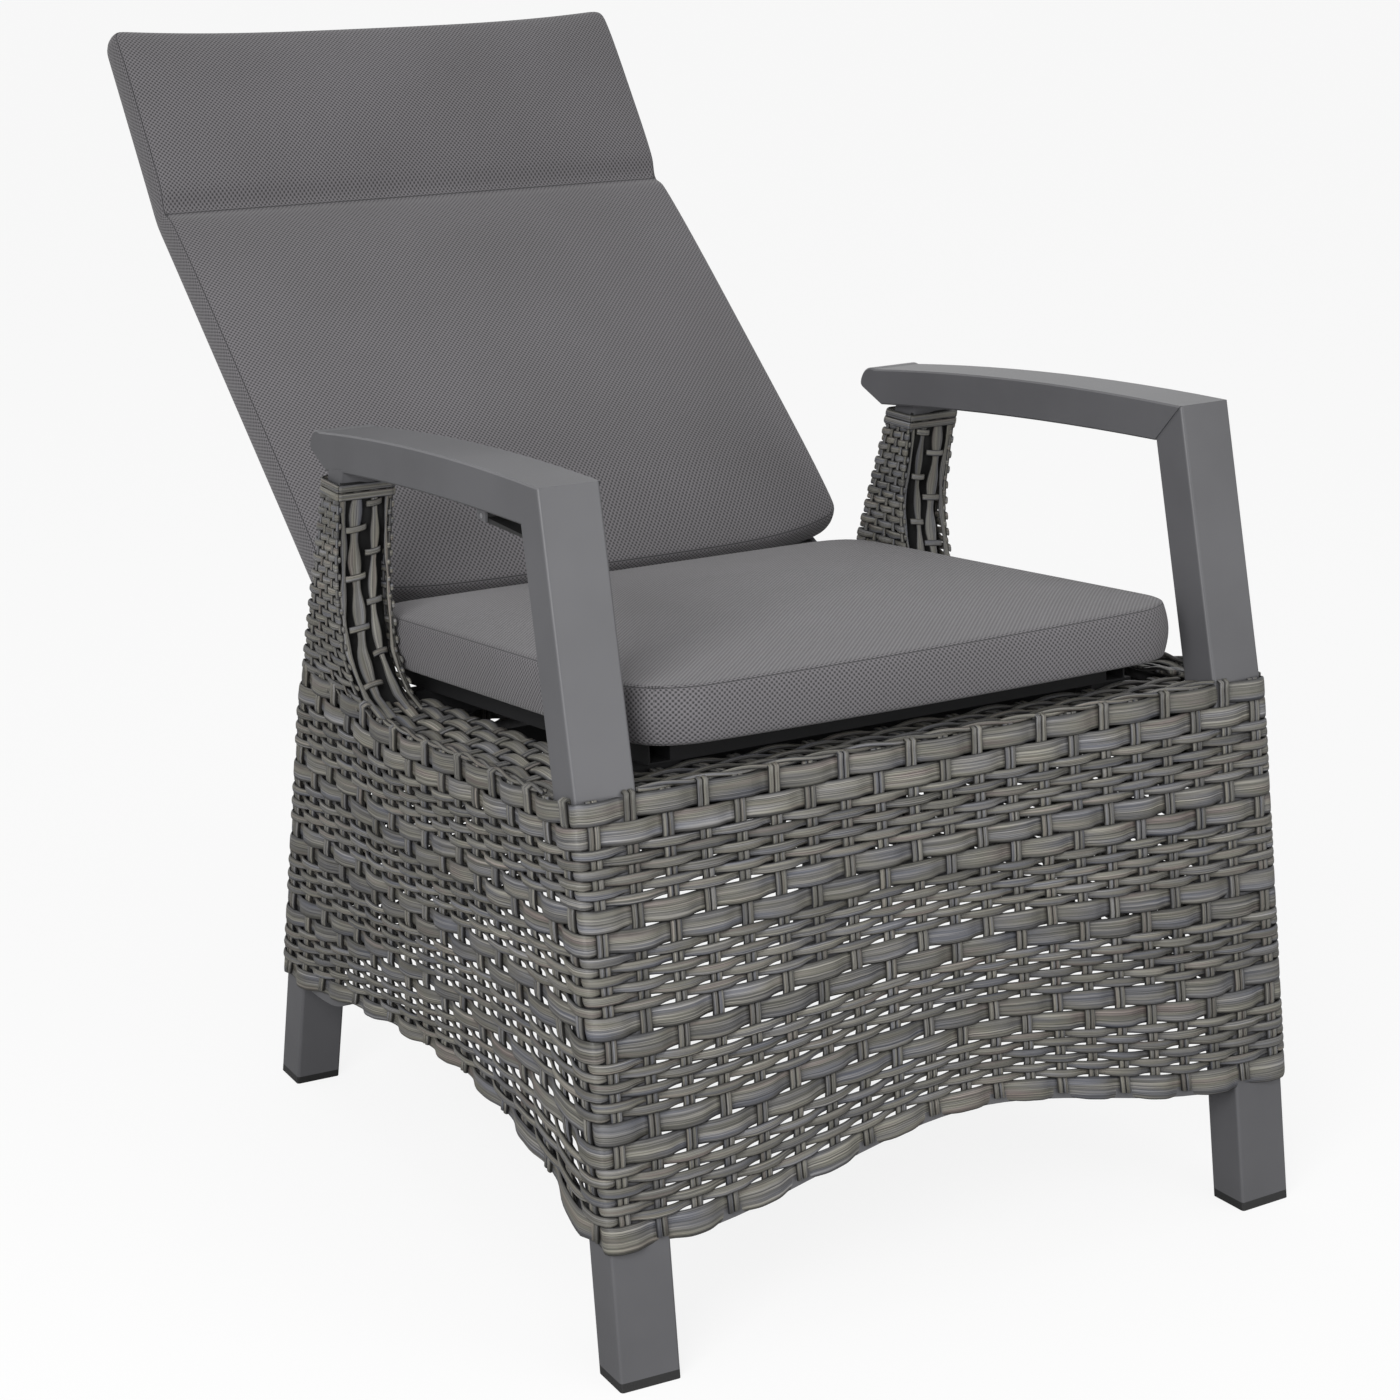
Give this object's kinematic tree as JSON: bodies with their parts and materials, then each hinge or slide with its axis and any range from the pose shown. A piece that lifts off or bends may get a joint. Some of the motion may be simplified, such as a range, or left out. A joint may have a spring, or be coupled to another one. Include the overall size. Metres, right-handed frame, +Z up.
{
  "type": "reclining garden armchair",
  "caption": "Woven garden armchair with metal side frames, crowned armrests, boxed seat and back cushions, and a back that reclines on a pivot.",
  "frame": {"origin": "centre of the chair's box at floor level, with the back in its most reclined position", "axes": "+Z up, -Y the way the sitter faces, +X to the sitter's left"},
  "size_m": [0.6424, 1.095, 0.9019],
  "materials": {
    "powder_coated_aluminium": "matt anthracite powder coat",
    "woven_resin": "streaked grey round-edged strands",
    "cushion_cloth": "mid-grey basket-weave outdoor cloth",
    "webbing": "black elastic webbing",
    "black_plastic": "fine matt",
    "bright_steel": "zinc plated",
    "spring_black": "black lacquer",
    "rod_chrome": "polished"
  },
  "bodies": {
    "base": {"anchor_pin": "bright_steel", "anchor_plates": "powder_coated_aluminium", "foot_caps": "black_plastic", "front_rail": "powder_coated_aluminium", "front_skirt": "woven_resin", "left_armrest": "powder_coated_aluminium", "left_front_leg": "powder_coated_aluminium", "left_hinge_bracket": "powder_coated_aluminium", "left_post_sleeve": "woven_resin", "left_rear_leg": "powder_coated_aluminium", "left_side_rail": "powder_coated_aluminium", "left_side_skirt": "woven_resin", "lever_bracket": "powder_coated_aluminium", "lever_pin": "bright_steel", "pivot_pins": "bright_steel", "pivot_washers": "black_plastic", "rear_rail": "powder_coated_aluminium", "rear_skirt": "woven_resin", "right_armrest": "powder_coated_aluminium", "right_front_leg": "powder_coated_aluminium", "right_hinge_bracket": "powder_coated_aluminium", "right_post_sleeve": "woven_resin", "right_rear_leg": "powder_coated_aluminium", "right_side_rail": "powder_coated_aluminium", "right_side_skirt": "woven_resin", "seat_cushion": "cushion_cloth", "seat_end_bars": "powder_coated_aluminium", "seat_front_bar": "powder_coated_aluminium", "seat_rear_bar": "powder_coated_aluminium", "seat_side_bars": "powder_coated_aluminium", "seat_spacers": "black_plastic", "seat_straps": "webbing", "skirt_arch_bands": "powder_coated_aluminium", "spring_crossbar": "powder_coated_aluminium", "woven_deck": "woven_resin"},
    "back": {"left_back_stile": "powder_coated_aluminium", "right_back_stile": "powder_coated_aluminium", "back_bottom_rail": "powder_coated_aluminium", "back_middle_rail": "powder_coated_aluminium", "back_top_rail": "powder_coated_aluminium", "back_weave": "woven_resin", "back_cushion": "cushion_cloth", "left_hinge_arm": "bright_steel", "right_hinge_arm": "bright_steel", "hinge_bolts": "bright_steel", "crank_plates": "bright_steel", "crank_pin": "bright_steel"},
    "spring_cylinder": {"gas_cylinder": "spring_black"},
    "spring_rod": {"gas_rod": "rod_chrome"},
    "lever": {"release_lever": "black_plastic"}
  },
  "joints": [
    {"name": "back_recline", "type": "hinge", "parent": "base", "child": "back", "pos_m": [0, 0.03236, 0.412], "axis": [1, 0, 0], "range_deg": [0, 34]},
    {"name": "cylinder_swing", "type": "hinge", "parent": "base", "child": "spring_cylinder", "pos_m": [0, -0.31063, 0.356], "axis": [1, 0, 0], "range_deg": [-1.38, 0]},
    {"name": "rod_slide", "type": "slide", "parent": "spring_cylinder", "child": "spring_rod", "axis": [0, 1, 0.0087], "range_m": [0, 0.0342]},
    {"name": "lever_pull", "type": "hinge", "parent": "base", "child": "lever", "pos_m": [-0.28333, -0.30963, 0.60729], "axis": [-1, 0, 0], "range_deg": [0, 10], "stiffness_Nm_per_rad": 0.6}
  ],
  "couplings": [
    {"joint": "cylinder_swing", "follows": "back_recline", "ratio": -0.040447},
    {"joint": "rod_slide", "follows": "back_recline", "m_per_rad": 0.0576}
  ]
}
